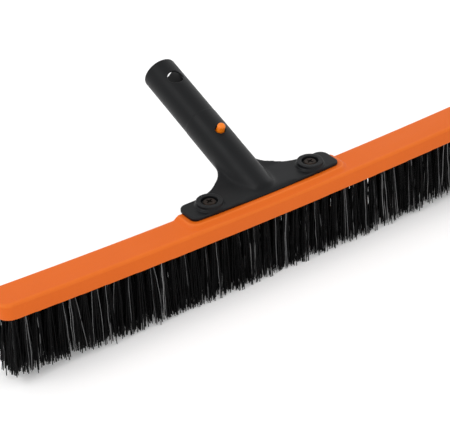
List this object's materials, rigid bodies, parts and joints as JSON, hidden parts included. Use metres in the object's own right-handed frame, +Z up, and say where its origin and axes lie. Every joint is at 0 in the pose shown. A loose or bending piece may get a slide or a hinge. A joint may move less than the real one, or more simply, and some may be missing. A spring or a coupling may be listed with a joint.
{
  "type": "pool wall brush",
  "caption": "Long arched brush head with rows of nylon bristles and a screwed-on tilted spigot that plugs into a telescopic pool pole and locks with spring buttons.",
  "frame": {"origin": "bottom centre of the bounding box, on the plane that the middle bristle tips stand on", "axes": "+X along the brush, +Y back towards the pole, +Z up from the bristle tips"},
  "size_m": [0.457, 0.1594, 0.1185],
  "materials": {
    "body_orange": "satin moulded plastic",
    "handle_black": "satin moulded plastic",
    "button_orange": "smooth moulded plastic",
    "screw_steel": "bronze coloured plating",
    "anchor_wire": "flat stainless wire",
    "bristle_black": "crimped nylon filament"
  },
  "bodies": {
    "brush": {"brush_body": "body_orange", "handle": "handle_black", "screw_left": "screw_steel", "screw_right": "screw_steel", "clip_bow": "button_orange", "tuft_row_1_left": "bristle_black", "tuft_row_1_right": "bristle_black", "tuft_anchors_row_1": "anchor_wire", "tuft_row_2_left": "bristle_black", "tuft_row_2_right": "bristle_black", "tuft_anchors_row_2": "anchor_wire", "tuft_row_3_left": "bristle_black", "tuft_row_3_right": "bristle_black", "tuft_anchors_row_3": "anchor_wire", "tuft_row_4_left": "bristle_black", "tuft_row_4_right": "bristle_black", "tuft_anchors_row_4": "anchor_wire", "tuft_row_5_left": "bristle_black", "tuft_row_5_right": "bristle_black", "tuft_anchors_row_5": "anchor_wire"},
    "upper_button": {"clip_arm_upper": "button_orange"},
    "lower_button": {"clip_arm_lower": "button_orange"}
  },
  "joints": [
    {"name": "upper_button_press", "type": "hinge", "parent": "brush", "child": "upper_button", "pos_m": [0, -0.03378, 0.07635], "axis": [1, 0, 0], "range_deg": [-9.6, 0], "stiffness_Nm_per_rad": 1},
    {"name": "lower_button_press", "type": "hinge", "parent": "brush", "child": "lower_button", "pos_m": [0, -0.0279, 0.05976], "axis": [1, 0, 0], "range_deg": [0, 9.6], "stiffness_Nm_per_rad": 1}
  ]
}
